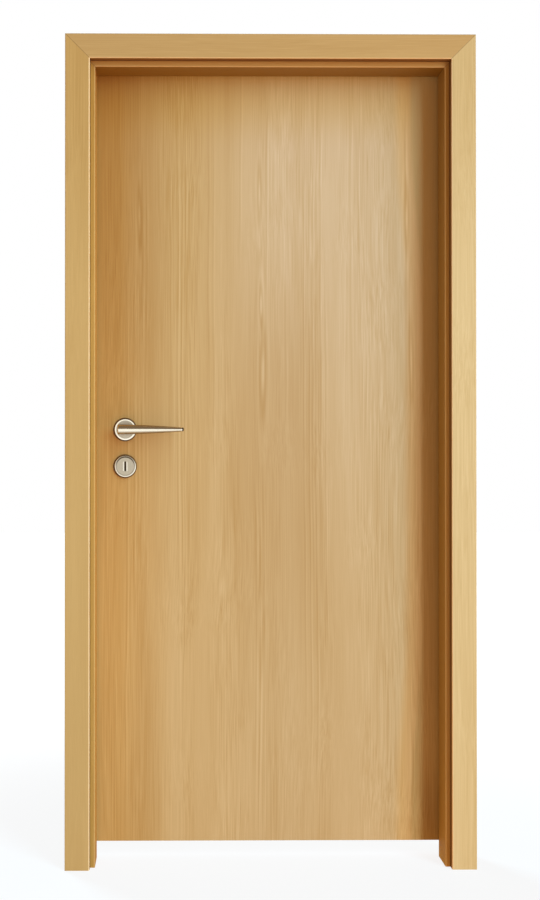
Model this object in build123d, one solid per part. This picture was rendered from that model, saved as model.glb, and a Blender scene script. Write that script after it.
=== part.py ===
from build123d import *
import os

# A veneered interior door in a mitred casing frame, in millimetres.
# X runs to the right and Y away from someone who faces the door's closing side, and Z runs up.
# The origin is on the wall face of the hinge-side lining, at floor level, in the middle of the wall.
# The leaf swings away from that person, about hinges on the far side, at the right.

# Opening and wall
CLEAR_W = 856.0
CLEAR_H = 1955.0
WALL_T = 104.0

# Lining boards
LINING_T = 30.0
REBATE_W = 15.0
LINING_EASE_R = 2.5
TAIL_SEAT = 2.0

# Architraves
ARCH_T = 16.0
ARCH_W = 60.0
ARCH_LEG = 24.0
ARCH_EASE_R = 3.0
ARCH_OUTER_R = 1.5
SIDE_MARGIN = 12.0
HEAD_MARGIN = 15.0
BACK_ARCH_W = 57.0
TONGUE_T = 6.0
TONGUE_L = 14.0
TONGUE_INSET = 6.0
TONGUE_CLEARANCE = 0.3

# Seal in the rebate
SEAL_GAP = 5.0
SEAL_LEAF_CLEARANCE = 0.3
SEAL_BULB_W = 9.0
SEAL_WALL = 1.2
SEAL_INSET = 2.5
SEAL_STEM_W = 3.0
SEAL_STEM_L = 6.0
SEAL_STEM_CLEARANCE = 0.1

# Leaf
LEAF_T = 40.0
LEAF_BOTTOM = 39.0
LEAF_SIDE_GAP = 6.0
LEAF_TOP_GAP = 5.0
LIP_T = 15.0
LIP_W = 13.0
LIP_GAP = 5.0
SKIN_T = 3.6
LIPPING_T = 8.0
STILE_W = 38.0
RAIL_H = 70.0
LOCK_BLOCK_W = 90.0
LOCK_BLOCK_H = 320.0
TUBE_D = 24.0
TUBE_PITCH = 110.0
LIP_EASE_R = 2.0

# Lock in the leaf's edge
BACKSET = 80.0
SPINDLE_Z = 1068.0
KEYHOLE_DROP = 92.0
LOCK_FROM_FACE = 11.5
LOCK_CASE_T = 14.0
LOCK_CASE_H = 165.0
LOCK_CASE_BEHIND_AXIS = 26.0
LOCK_CLEARANCE = 0.4
FACEPLATE_W = 20.0
FACEPLATE_H = 235.0
FACEPLATE_T = 3.0
BOLT_T = 10.5
BOLT_L = 42.0
BOLT_CLEARANCE = 0.4
LATCH_H = 30.0
LATCH_SHOULDER = 4.0
DEAD_BOLT_H = 34.0
DEAD_BOLT_DROP = 76.0
HUB_D = 20.0
HUB_CLEARANCE = 0.08

# Strike plate in the lock-side rebate
STRIKE_T = 1.5
STRIKE_H = 170.0
STRIKE_REBATE_LEG = 19.0
STRIKE_FACE_LEG = 9.0
STRIKE_HOLE_MARGIN = 0.6
STRIKE_POCKET_DEPTH = 24.0

# Lever handles
ROSE_D = 55.0
ROSE_T = 8.0
ROSE_RIM_W = 5.0
ROSE_DISH = 0.8
ROSE_EDGE_R = 2.2
NECK_D = 18.0
NECK_CLEARANCE = 0.08
NECK_LOW = 1.0
NECK_FILLET_R = 2.5
GRIP_STANDOFF = 44.0
GRIP_BUTT = 18.0
GRIP_REACH = 139.0
GRIP_BUTT_D = 24.8
GRIP_BELLY_AT = 62.0
GRIP_BELLY_D = 20.0
GRIP_TIP_D = 10.8
GRIP_BUTT_R = 3.0
CAP_RING_L = 4.0
CAP_DOME_L = 3.5
CAP_STEP = 0.5
SPINDLE_W = 8.0
SPINDLE_SEAT = 20.0
SPINDLE_CLEARANCE = 0.1
SPINDLE_BORE_D = 20.0

# Keyhole escutcheons
KEYHOLE_W = 5.4
KEYHOLE_H = 25.0
KEYHOLE_RIDGE_W = 3.2
KEYHOLE_RIDGE_H = 1.0
ESCUTCHEON_DISC_D = 46.0
ESCUTCHEON_DISH = 0.3
ESCUTCHEON_GROOVE_W = 0.8
ESCUTCHEON_GROOVE_D = 0.7

# Hinges
HINGE_TOP_DROP = 241.0
HINGE_SPACING = 1435.0
KNUCKLE_D = 15.0
KNUCKLE_H = 40.0
KNUCKLE_RIM = 0.8
KNUCKLE_LIP_GAP = 1.5
KNUCKLE_LIFT = 0.4
PIN_D = 8.0
PIN_CLEARANCE = 0.05
PIN_SEAT_CLEARANCE = 0.02
PIN_ENGAGE = 30.0
STUD_D = 7.0
STUD_L = 38.0
STUD_SPACING = 22.0
STUD_ANGLE = 16.0
STUD_CLEARANCE = 0.1

# Places that follow from the sizes above
CENTRE_X = -(LINING_T + CLEAR_W / 2)
WALL_FRONT = -WALL_T / 2
WALL_BACK = WALL_T / 2
FACE_FRONT = WALL_FRONT - ARCH_T
FACE_BACK = WALL_BACK + ARCH_T
LINING_FRONT = FACE_FRONT + ARCH_LEG
TAIL_END = WALL_BACK + TAIL_SEAT
LEAF_BACK = FACE_BACK + LIP_GAP + LIP_T
LEAF_FRONT = LEAF_BACK - LEAF_T
LIP_FRONT = LEAF_BACK - LIP_T
STOP_Y = LEAF_FRONT - SEAL_GAP
NARROW_HALF = CLEAR_W / 2 + REBATE_W - LEAF_SIDE_GAP
NARROW_TOP = CLEAR_H + REBATE_W - LEAF_TOP_GAP
CORE_FRONT = LEAF_FRONT + SKIN_T
CORE_BACK = LEAF_BACK - SKIN_T
LOCK_EDGE_X = CENTRE_X - NARROW_HALF
AXIS_X = LOCK_EDGE_X + BACKSET
KEYHOLE_Z = SPINDLE_Z - KEYHOLE_DROP
LOCK_Y = LEAF_FRONT + LOCK_FROM_FACE
LOCK_MID_Z = (SPINDLE_Z + KEYHOLE_Z) / 2
DEAD_BOLT_Z = SPINDLE_Z - DEAD_BOLT_DROP
HINGE_X = CENTRE_X + NARROW_HALF + LIP_W + KNUCKLE_LIP_GAP + KNUCKLE_D / 2
HINGE_Y = LEAF_BACK - LIP_T / 2
HINGE_TOP_Z = CLEAR_H + REBATE_W - HINGE_TOP_DROP
HINGE_HEIGHTS = {"upper": HINGE_TOP_Z, "lower": HINGE_TOP_Z - HINGE_SPACING}
FRONT, BACK = -1, 1
FAR = 4 * (CLEAR_W + CLEAR_H)


def block(x0, x1, y0, y1, z0, z1):
    """A box between two corners."""
    return Pos((x0 + x1) / 2, (y0 + y1) / 2, (z0 + z1) / 2) * Box(x1 - x0, y1 - y0, z1 - z0)


def section(points, rounds=None):
    """A closed section from corner points, with the named corners rounded."""
    face = make_face(Polyline(*points, close=True))
    for corner, radius in (rounds or {}).items():
        near = face.vertices().sort_by_distance((*corner, 0))[0]
        face = fillet(near, radius)
    return face


def corner_wedge(side_margin, head_margin):
    """All that lies above the two 45 degree mitre lines, for cutting frame bars to length."""
    half = CLEAR_W / 2 + side_margin
    low = CLEAR_H + head_margin
    outline = Polyline(
        (-half, low), (half, low), (half + FAR, low + FAR), (-half - FAR, low + FAR), close=True
    )
    front = Plane(origin=(CENTRE_X, FAR / 2, 0), x_dir=(1, 0, 0), z_dir=(0, -1, 0))
    return extrude(front * make_face(outline), FAR)


def side_bar(profile, hand, wedge, bottom=0.0):
    """An upright bar: a section in (distance outside the passage face, Y), mitred at its top."""
    place = Plane(origin=(CENTRE_X + hand * CLEAR_W / 2, 0, bottom), x_dir=(1, 0, 0), z_dir=(0, 0, 1))
    bar = extrude(place * profile, 2 * CLEAR_H)
    if hand < 0:
        bar = mirror(bar, Plane(origin=(CENTRE_X - CLEAR_W / 2, 0, 0), z_dir=(1, 0, 0)))
    return bar - wedge


def head_bar(profile, wedge):
    """A level bar over the opening: the same kind of section, mitred at both ends."""
    place = Plane(origin=(CENTRE_X - CLEAR_W, 0, CLEAR_H), x_dir=(0, 0, 1), z_dir=(-1, 0, 0))
    return extrude(place * profile, -2 * CLEAR_W) & wedge


def lining_section():
    """A lining board: eased passage corner, grooves for tongue and seal, rebate, bevelled tail."""
    face = section(
        [
            (0, LINING_FRONT),
            (0, STOP_Y),
            (REBATE_W, STOP_Y),
            (REBATE_W, TAIL_END),
            (LINING_T - TAIL_SEAT, TAIL_END),
            (LINING_T, WALL_BACK),
            (LINING_T, LINING_FRONT),
        ],
        {(0, LINING_FRONT): LINING_EASE_R},
    )
    groove_w = TONGUE_T + 2 * TONGUE_CLEARANCE
    groove_l = TONGUE_L + TONGUE_CLEARANCE
    groove_x = LINING_T - TONGUE_INSET - TONGUE_T / 2
    groove = Pos(groove_x, LINING_FRONT + groove_l / 2) * Rectangle(groove_w, groove_l)
    stem_w = SEAL_STEM_W + 2 * SEAL_STEM_CLEARANCE
    stem_l = SEAL_STEM_L + SEAL_STEM_CLEARANCE
    stem = Pos(SEAL_INSET + SEAL_BULB_W / 2, STOP_Y - stem_l / 2) * Rectangle(stem_w, stem_l)
    return face - groove - stem


def front_arch_section(margin):
    """The front architrave: a board that lies on the wall, and a leg down to the lining's edge."""
    return section(
        [
            (margin, FACE_FRONT),
            (margin, LINING_FRONT),
            (LINING_T, LINING_FRONT),
            (LINING_T, WALL_FRONT),
            (margin + ARCH_W, WALL_FRONT),
            (margin + ARCH_W, FACE_FRONT),
        ],
        {(margin, FACE_FRONT): ARCH_EASE_R, (margin + ARCH_W, FACE_FRONT): ARCH_OUTER_R},
    )


def tongue_section():
    """The front architrave's tongue, which slides into the groove in the lining's edge."""
    middle = LINING_T - TONGUE_INSET - TONGUE_T / 2
    return Pos(middle, LINING_FRONT + TONGUE_L / 2) * Rectangle(TONGUE_T, TONGUE_L)


def back_arch_section():
    """The back architrave: its inner edge carries on the rebate, and a bevel seats the lining's tail."""
    outer = REBATE_W + BACK_ARCH_W
    return section(
        [
            (REBATE_W, TAIL_END),
            (REBATE_W, FACE_BACK),
            (outer, FACE_BACK),
            (outer, WALL_BACK),
            (LINING_T, WALL_BACK),
            (LINING_T - TAIL_SEAT, TAIL_END),
        ],
        {(REBATE_W, FACE_BACK): ARCH_OUTER_R, (outer, FACE_BACK): ARCH_OUTER_R},
    )


def seal_section():
    """A hollow bulb on a stem: the bulb lies on the stop and the stem sits in the lining's groove."""
    bulb_h = SEAL_GAP - SEAL_LEAF_CLEARANCE
    middle = SEAL_INSET + SEAL_BULB_W / 2
    outer = Pos(middle, STOP_Y + bulb_h / 2) * RectangleRounded(SEAL_BULB_W, bulb_h, bulb_h * 0.4)
    inner_w = SEAL_BULB_W - 2 * SEAL_WALL
    inner_h = bulb_h - 2 * SEAL_WALL
    inner = Pos(middle, STOP_Y + bulb_h / 2) * RectangleRounded(inner_w, inner_h, inner_h * 0.3)
    stem = Pos(middle, STOP_Y - SEAL_STEM_L / 2 + SEAL_WALL / 2) * Rectangle(
        SEAL_STEM_W, SEAL_STEM_L + SEAL_WALL
    )
    return outer + stem - inner


def frame_set(name, side_profile, head_profile, wedge):
    """The three mitred pieces of one kind, named by where they stand."""
    return {
        f"{name}_hinge_side": side_bar(side_profile, 1, wedge),
        f"{name}_lock_side": side_bar(side_profile, -1, wedge),
        f"{name}_head": head_bar(head_profile, wedge),
    }


def bolt_pockets(x0, x1, margin):
    """The two bolt openings, as bars along X that are larger than the bolts by a margin."""
    half_t = BOLT_T / 2 + margin
    bars = []
    for middle, height in ((SPINDLE_Z, LATCH_H), (DEAD_BOLT_Z, DEAD_BOLT_H)):
        half_h = height / 2 + margin
        bars.append(block(x0, x1, LOCK_Y - half_t, LOCK_Y + half_t, middle - half_h, middle + half_h))
    return bars


def strike_plate():
    """An angled plate in the rebate's corner: one leg on its side, one under the leaf's lip."""
    face_x = CENTRE_X - CLEAR_W / 2 - REBATE_W
    z0 = LOCK_MID_Z - STRIKE_H / 2
    z1 = LOCK_MID_Z + STRIKE_H / 2
    plate = block(face_x - STRIKE_T, face_x, FACE_BACK - STRIKE_REBATE_LEG, FACE_BACK, z0, z1)
    plate += block(face_x - STRIKE_FACE_LEG, face_x, FACE_BACK - STRIKE_T, FACE_BACK, z0, z1)
    for bar in bolt_pockets(face_x - STRIKE_T, face_x, STRIKE_HOLE_MARGIN):
        plate -= bar
    return plate


def strike_recess():
    """What the strike plate and the bolts behind it need cut out of the frame."""
    face_x = CENTRE_X - CLEAR_W / 2 - REBATE_W
    z0 = LOCK_MID_Z - STRIKE_H / 2
    z1 = LOCK_MID_Z + STRIKE_H / 2
    recess = block(face_x - STRIKE_T, face_x + STRIKE_T, FACE_BACK - STRIKE_REBATE_LEG, FACE_BACK + 1, z0, z1)
    recess += block(face_x - STRIKE_FACE_LEG, face_x, FACE_BACK - STRIKE_T, FACE_BACK + 1, z0, z1)
    for bar in bolt_pockets(face_x - STRIKE_POCKET_DEPTH, face_x, STRIKE_HOLE_MARGIN):
        recess += bar
    return recess


def stud(middle_z, direction, clearance=0.0):
    """One screw-in stud from a hinge's axis, along a level direction."""
    place = Plane(origin=(HINGE_X, HINGE_Y, middle_z), z_dir=direction)
    return extrude(place * Circle(STUD_D / 2 + clearance), KNUCKLE_D / 2 + STUD_L + clearance)


def hinge_studs(middle, half, clearance=0.0):
    """The pair of studs of one hinge half: into the leaf's edge above, into the frame below."""
    if half == "leaf":
        direction = (-1, 0, 0)
        centre = middle + (KNUCKLE_H + KNUCKLE_LIFT) / 2
    else:
        lean = Vector(0, -1, 0).rotate(Axis.Z, -STUD_ANGLE)
        direction = (lean.X, lean.Y, 0)
        centre = middle - (KNUCKLE_H + KNUCKLE_LIFT) / 2
    low = stud(centre - STUD_SPACING / 2, direction, clearance)
    high = stud(centre + STUD_SPACING / 2, direction, clearance)
    return [low, high]


def all_studs(half, clearance=0.0):
    """The studs of both hinges' halves of one kind."""
    return [s for middle in HINGE_HEIGHTS.values() for s in hinge_studs(middle, half, clearance)]


def knuckle(z0, z1):
    """A barrel length on the hinge's axis with softened rims."""
    barrel = Pos(HINGE_X, HINGE_Y, (z0 + z1) / 2) * Cylinder(KNUCKLE_D / 2, z1 - z0)
    return chamfer(barrel.edges().filter_by(GeomType.CIRCLE), KNUCKLE_RIM)


def hinge_frame_half(middle):
    """The lower barrel with its studs, bored for the pin."""
    top = middle - KNUCKLE_LIFT / 2
    barrel = knuckle(top - KNUCKLE_H, top)
    for one in hinge_studs(middle, "frame"):
        barrel += one
    bore = Cylinder(PIN_D / 2 + PIN_SEAT_CLEARANCE, PIN_ENGAGE)
    return barrel - Pos(HINGE_X, HINGE_Y, top - PIN_ENGAGE / 2) * bore


def hinge_leaf_half(middle):
    """The upper barrel with its studs, bored with a running clearance for the pin."""
    bottom = middle + KNUCKLE_LIFT / 2
    barrel = knuckle(bottom, bottom + KNUCKLE_H)
    for one in hinge_studs(middle, "leaf"):
        barrel += one
    depth = PIN_ENGAGE + PIN_CLEARANCE
    bore = Pos(HINGE_X, HINGE_Y, bottom + depth / 2) * Cylinder(PIN_D / 2 + PIN_CLEARANCE, depth)
    return barrel - bore


def hinge_pin(middle):
    """The steel pin that both barrels share, pressed into the lower one."""
    low = middle - KNUCKLE_LIFT / 2 - PIN_ENGAGE
    high = middle + KNUCKLE_LIFT / 2 + PIN_ENGAGE
    pin = Pos(HINGE_X, HINGE_Y, (low + high) / 2) * Cylinder(PIN_D / 2, high - low)
    return chamfer(pin.edges().filter_by(GeomType.CIRCLE).sort_by(Axis.Z)[-1], PIN_D / 10)


def lipping_section(edge):
    """A solid edge strip with the leaf's rebated lip; edge is the leaf's narrow edge."""
    return section(
        [
            (edge, CORE_FRONT),
            (edge, LIP_FRONT),
            (edge + LIP_W, LIP_FRONT),
            (edge + LIP_W, CORE_BACK),
            (edge - LIPPING_T, CORE_BACK),
            (edge - LIPPING_T, CORE_FRONT),
        ]
    )


def lippings():
    """The solid edge strips round the leaf, mitred at the two top corners."""
    side_edge = NARROW_HALF - CLEAR_W / 2
    top_edge = NARROW_TOP - CLEAR_H
    wedge = corner_wedge(side_edge - LIPPING_T, top_edge - LIPPING_T)
    pieces = {
        "leaf_lipping_hinge_side": side_bar(lipping_section(side_edge), 1, wedge, LEAF_BOTTOM),
        "leaf_lipping_lock_side": side_bar(lipping_section(side_edge), -1, wedge, LEAF_BOTTOM),
        "leaf_lipping_top": head_bar(lipping_section(top_edge), wedge),
    }
    pieces["leaf_lipping_lock_side"] -= faceplate(LOCK_CLEARANCE / 4)
    pieces["leaf_lipping_lock_side"] -= lock_mortise()
    for one in all_studs("leaf", STUD_CLEARANCE):
        pieces["leaf_lipping_hinge_side"] -= one
    return pieces


def lock_case_block(clearance=0.0):
    """The outer shape of the mortise lock's case."""
    x0 = LOCK_EDGE_X + FACEPLATE_T
    x1 = AXIS_X + LOCK_CASE_BEHIND_AXIS + clearance
    half_t = LOCK_CASE_T / 2 + clearance
    half_h = LOCK_CASE_H / 2 + clearance
    return block(x0, x1, LOCK_Y - half_t, LOCK_Y + half_t, LOCK_MID_Z - half_h, LOCK_MID_Z + half_h)


def lock_mortise():
    """The slot that the case fills, open at the leaf's edge."""
    slot = lock_case_block(LOCK_CLEARANCE)
    return slot + slot.moved(Pos(-FACEPLATE_T, 0, 0))


def faceplate(clearance=0.0):
    """The outer shape of the lock's faceplate, with round ends, flush with the leaf's edge."""
    place = Plane(origin=(LOCK_EDGE_X, LOCK_Y, LOCK_MID_Z), x_dir=(0, 0, 1), z_dir=(1, 0, 0))
    straight = FACEPLATE_H - FACEPLATE_W
    outline = SlotCenterToCenter(straight, FACEPLATE_W + 2 * clearance)
    return extrude(place * outline, FACEPLATE_T)


def lock_pieces():
    """The mortise lock: case, faceplate and two bolts drawn in flush with the faceplate."""
    case = lock_case_block()
    plate = faceplate()
    pocket_end = LOCK_EDGE_X + BOLT_L + BOLT_CLEARANCE
    for bar in bolt_pockets(LOCK_EDGE_X, pocket_end, BOLT_CLEARANCE / 2):
        case -= bar
        plate -= bar
    case -= axis_bore(HUB_D / 2 + HUB_CLEARANCE)
    latch = block(
        LOCK_EDGE_X,
        LOCK_EDGE_X + BOLT_L,
        LOCK_Y - BOLT_T / 2,
        LOCK_Y + BOLT_T / 2,
        SPINDLE_Z - LATCH_H / 2,
        SPINDLE_Z + LATCH_H / 2,
    )
    slope = latch.edges().filter_by(Axis.Z).sort_by(Axis.X)[:2].sort_by(Axis.Y)[0]
    latch = chamfer(slope, BOLT_T * 0.8, LATCH_SHOULDER)
    latch = fillet(latch.edges().group_by(Axis.X)[0].filter_by(Axis.Z)[0], BOLT_T / 20)
    dead_bolt = block(
        LOCK_EDGE_X,
        LOCK_EDGE_X + BOLT_L,
        LOCK_Y - BOLT_T / 2,
        LOCK_Y + BOLT_T / 2,
        DEAD_BOLT_Z - DEAD_BOLT_H / 2,
        DEAD_BOLT_Z + DEAD_BOLT_H / 2,
    )
    dead_bolt = fillet(dead_bolt.edges().group_by(Axis.X)[0], BOLT_T / 20)
    return {"lock_case": case, "lock_faceplate": plate, "latch_bolt": latch, "dead_bolt": dead_bolt}


def axis_bore(radius):
    """A round bar through the whole leaf on the handle's axis."""
    place = Plane(origin=(AXIS_X, LEAF_FRONT - FAR / 2, SPINDLE_Z), z_dir=(0, 1, 0))
    return extrude(place * Circle(radius), FAR)


def leaf_boards():
    """The leaf's skins, edge frame, lock block and tubular core."""
    left = CENTRE_X - NARROW_HALF
    right = CENTRE_X + NARROW_HALF
    inner_left = left + LIPPING_T
    inner_right = right - LIPPING_T
    inner_top = NARROW_TOP - LIPPING_T
    core_left = inner_left + STILE_W
    core_right = inner_right - STILE_W
    core_low = LEAF_BOTTOM + RAIL_H
    core_high = inner_top - RAIL_H
    block_low = LOCK_MID_Z - LOCK_BLOCK_H / 2
    block_high = LOCK_MID_Z + LOCK_BLOCK_H / 2
    core = block(core_left, core_right, CORE_FRONT, CORE_BACK, core_low, core_high)
    count = int((core_right - core_left - TUBE_D) // TUBE_PITCH)
    start = (core_left + core_right) / 2 - (count - 1) * TUBE_PITCH / 2
    for i in range(count):
        x = start + i * TUBE_PITCH
        tube = Cylinder(TUBE_D / 2, core_high - core_low)
        core -= Pos(x, (CORE_FRONT + CORE_BACK) / 2, (core_low + core_high) / 2) * tube
    core -= block(core_left, core_left + LOCK_BLOCK_W, CORE_FRONT, CORE_BACK, block_low, block_high)
    skin_front = block(left, right, LEAF_FRONT, CORE_FRONT, LEAF_BOTTOM, NARROW_TOP)
    skin_back = block(left - LIP_W, right + LIP_W, CORE_BACK, LEAF_BACK, LEAF_BOTTOM, NARROW_TOP + LIP_W)
    outer_edges = skin_back.edges().group_by(Axis.Y)[-1].filter_by_position(Axis.Z, LEAF_BOTTOM + 1, FAR)
    skin_back = fillet(outer_edges, LIP_EASE_R)
    pieces = {
        "leaf_skin_front": skin_front,
        "leaf_skin_back": skin_back,
        "leaf_core": core,
        "leaf_stile_lock_side": block(inner_left, core_left, CORE_FRONT, CORE_BACK, LEAF_BOTTOM, inner_top),
        "leaf_stile_hinge_side": block(
            core_right, inner_right, CORE_FRONT, CORE_BACK, LEAF_BOTTOM, inner_top
        ),
        "leaf_rail_top": block(core_left, core_right, CORE_FRONT, CORE_BACK, core_high, inner_top),
        "leaf_rail_bottom": block(core_left, core_right, CORE_FRONT, CORE_BACK, LEAF_BOTTOM, core_low),
        "leaf_lock_block": block(
            core_left, core_left + LOCK_BLOCK_W, CORE_FRONT, CORE_BACK, block_low, block_high
        ),
    }
    bore = axis_bore(SPINDLE_BORE_D / 2)
    mortise = lock_mortise()
    for name in ("leaf_skin_front", "leaf_skin_back", "leaf_lock_block"):
        pieces[name] -= bore
        pieces[name] -= key_passage()
    for name in ("leaf_stile_lock_side", "leaf_lock_block"):
        pieces[name] -= mortise
    pieces["leaf_skin_front"] -= faceplate(LOCK_CLEARANCE / 4)
    for one in all_studs("leaf", STUD_CLEARANCE):
        pieces["leaf_stile_hinge_side"] -= one
    return pieces


def on_face(side):
    """A plane on one face of the leaf at the handle's axis, looking outwards, with X kept."""
    y = LEAF_FRONT if side == FRONT else LEAF_BACK
    return Plane(origin=(AXIS_X, y, SPINDLE_Z), x_dir=(1, 0, 0), z_dir=(0, side, 0))


def cover_disc(points):
    """A round cover turned about its axis: the given inner face inside a rounded rim."""
    outer = ROSE_D / 2
    profile = section(points + [(0, 0), (outer, 0), (outer, ROSE_T)], {(outer, ROSE_T): ROSE_EDGE_R})
    upright = Plane(origin=(0, 0, 0), x_dir=(1, 0, 0), z_dir=(0, -1, 0))
    return revolve(upright * profile, Axis.Z)


def rose(side):
    """The lever's rose, bored for the neck."""
    dish_r = ROSE_D / 2 - ROSE_RIM_W
    face_z = ROSE_T - ROSE_DISH
    disc = cover_disc([(dish_r, ROSE_T), (dish_r, face_z), (0, face_z)])
    disc -= Cylinder(NECK_D / 2 + NECK_CLEARANCE, 4 * ROSE_T)
    return on_face(side).location * disc


def key_passage():
    """A bar of the keyhole's outline through both covers and the leaf as far as the lock's case."""
    place = Plane(origin=(AXIS_X, LEAF_FRONT - FAR / 2, KEYHOLE_Z), x_dir=(0, 0, 1), z_dir=(0, 1, 0))
    return extrude(place * SlotOverall(KEYHOLE_H, KEYHOLE_W), FAR)


def escutcheon(side):
    """The keyhole cover: a disc let into the rim, with a slot for the key between two ridges."""
    disc_r = ESCUTCHEON_DISC_D / 2
    groove_r = disc_r + ESCUTCHEON_GROOVE_W
    face_z = ROSE_T - ESCUTCHEON_DISH
    floor_z = ROSE_T - ESCUTCHEON_GROOVE_D
    disc = cover_disc(
        [(groove_r, ROSE_T), (groove_r, floor_z), (disc_r, floor_z), (disc_r, face_z), (0, face_z)]
    )
    ridge_x = (KEYHOLE_W + KEYHOLE_RIDGE_W) / 2
    for hand in (-1, 1):
        ridge = SlotOverall(KEYHOLE_H, KEYHOLE_RIDGE_W, rotation=90)
        disc += Pos(hand * ridge_x, 0, face_z) * extrude(ridge, KEYHOLE_RIDGE_H)
    return on_face(side).location * Pos(0, side * KEYHOLE_DROP, 0) * disc - key_passage()


def grip():
    """The lever's grip, turned about its length: a bellied taper with a rounded butt."""
    butt = (-GRIP_BUTT, GRIP_BUTT_D / 2)
    tip = (GRIP_REACH, GRIP_TIP_D / 2)
    taper = ThreePointArc(butt, (GRIP_BELLY_AT, GRIP_BELLY_D / 2), tip)
    rest = Polyline(tip, (GRIP_REACH, 0), (-GRIP_BUTT, 0), butt)
    half = make_face(taper + rest)
    half = fillet(half.vertices().sort_by_distance((*butt, 0))[0], GRIP_BUTT_R)
    return Pos(0, 0, GRIP_STANDOFF) * revolve(half, Axis.X)


def lever(side):
    """The lever: the grip on a round neck with a square socket for the spindle."""
    handle = grip()
    neck_l = GRIP_STANDOFF - NECK_LOW
    neck = Pos(0, 0, NECK_LOW + neck_l / 2) * Cylinder(NECK_D / 2, neck_l)
    body = handle + neck
    body = fillet(new_edges(handle, neck, combined=body), NECK_FILLET_R)
    socket_w = SPINDLE_W + 2 * SPINDLE_CLEARANCE
    socket_l = SPINDLE_SEAT + SPINDLE_CLEARANCE
    body -= Pos(0, 0, socket_l / 2) * Box(socket_w, socket_w, socket_l)
    return on_face(side).location * body


def lever_cap(side):
    """The lever's end: a polished ring and a low dome."""
    r0 = GRIP_TIP_D / 2
    end = GRIP_REACH + CAP_RING_L
    half = section(
        [
            (GRIP_REACH, 0),
            (GRIP_REACH, r0),
            (end, r0 - CAP_STEP / 2),
            (end, r0 - CAP_STEP),
            (end + CAP_DOME_L, r0 - CAP_STEP),
            (end + CAP_DOME_L, 0),
        ],
        {(end + CAP_DOME_L, r0 - CAP_STEP): CAP_DOME_L * 0.9},
    )
    return on_face(side).location * Pos(0, 0, GRIP_STANDOFF) * revolve(half, Axis.X)


def spindle():
    """The square bar that joins both levers through the lock."""
    y0 = LEAF_FRONT - SPINDLE_SEAT
    y1 = LEAF_BACK + SPINDLE_SEAT
    half = SPINDLE_W / 2
    return block(AXIS_X - half, AXIS_X + half, y0, y1, SPINDLE_Z - half, SPINDLE_Z + half)


def lock_hub():
    """The lock's turning hub, a ring on the spindle."""
    place = Plane(origin=(AXIS_X, LOCK_Y - LOCK_CASE_T / 2, SPINDLE_Z), z_dir=(0, 1, 0))
    hub = extrude(place * Circle(HUB_D / 2), LOCK_CASE_T)
    half = SPINDLE_W / 2 + SPINDLE_CLEARANCE
    return hub - block(
        AXIS_X - half, AXIS_X + half, LEAF_FRONT, LEAF_BACK, SPINDLE_Z - half, SPINDLE_Z + half
    )


def frame_pieces():
    """The frame that stays in the wall, with seals and strike plate."""
    pieces = frame_set("lining", lining_section(), lining_section(), corner_wedge(0, 0))
    pieces |= frame_set(
        "front_architrave",
        front_arch_section(SIDE_MARGIN),
        front_arch_section(HEAD_MARGIN),
        corner_wedge(SIDE_MARGIN, HEAD_MARGIN),
    )
    tongues = frame_set("front_architrave", tongue_section(), tongue_section(), corner_wedge(0, 0))
    for name, tongue in tongues.items():
        pieces[name] += tongue
    over_head = block(-FAR, FAR, WALL_FRONT, LINING_FRONT, CLEAR_H + LINING_T, FAR)
    for name in ("front_architrave_hinge_side", "front_architrave_lock_side"):
        pieces[name] -= over_head
    pieces |= frame_set(
        "back_architrave", back_arch_section(), back_arch_section(), corner_wedge(REBATE_W, REBATE_W)
    )
    pieces |= frame_set("seal", seal_section(), seal_section(), corner_wedge(0, 0))
    recess = strike_recess()
    for name in ("lining_lock_side", "back_architrave_lock_side"):
        pieces[name] -= recess
    for name in ("lining_hinge_side", "back_architrave_hinge_side"):
        for one in all_studs("frame", STUD_CLEARANCE):
            pieces[name] -= one
    pieces["strike_plate"] = strike_plate()
    return pieces


def hardware_pieces():
    """Hinges, lock and handles."""
    pieces = lock_pieces()
    for place, middle in HINGE_HEIGHTS.items():
        pieces[f"hinge_{place}_frame_knuckle"] = hinge_frame_half(middle)
        pieces[f"hinge_{place}_pin"] = hinge_pin(middle)
        pieces[f"hinge_{place}_leaf_knuckle"] = hinge_leaf_half(middle)
    for word, side in (("front", FRONT), ("back", BACK)):
        pieces[f"{word}_rose"] = rose(side)
        pieces[f"{word}_escutcheon"] = escutcheon(side)
        pieces[f"{word}_lever"] = lever(side)
        pieces[f"{word}_lever_cap"] = lever_cap(side)
    pieces["spindle"] = spindle()
    pieces["lock_hub"] = lock_hub()
    return pieces


os.makedirs("parts", exist_ok=True)
for node, solid in {**frame_pieces(), **leaf_boards(), **lippings(), **hardware_pieces()}.items():
    export_step(solid, f"parts/{node}.step")
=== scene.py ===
import math

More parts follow.
